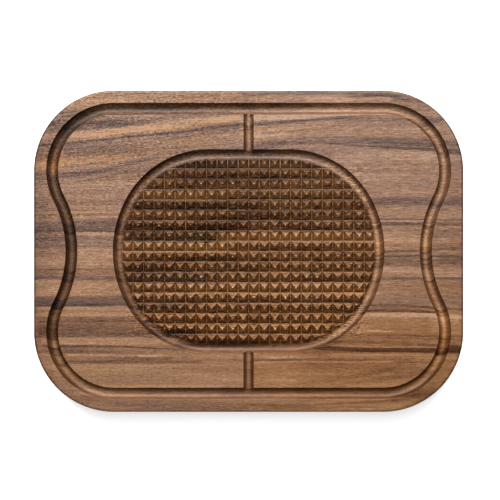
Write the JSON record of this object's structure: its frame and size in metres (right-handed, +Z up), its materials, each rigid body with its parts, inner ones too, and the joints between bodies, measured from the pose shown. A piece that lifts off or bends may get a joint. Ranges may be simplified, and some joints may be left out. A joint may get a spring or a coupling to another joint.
{
  "type": "steak board",
  "caption": "Rounded wooden steak board with a waisted juice groove, an oval field of carved pyramids framed by a ring groove, and drain channels joining the grooves.",
  "frame": {"origin": "middle of the underside, on the surface that the board rests on", "axes": "+X along the board's length, +Y across it towards the picture's upper edge, +Z up out of the carved face"},
  "size_m": [0.406, 0.304, 0.025],
  "materials": {
    "walnut_toned_wood": "oiled, satin, mid-brown with dark streaks along the board"
  },
  "bodies": {
    "root": {"board": "walnut_toned_wood"}
  },
  "joints": []
}
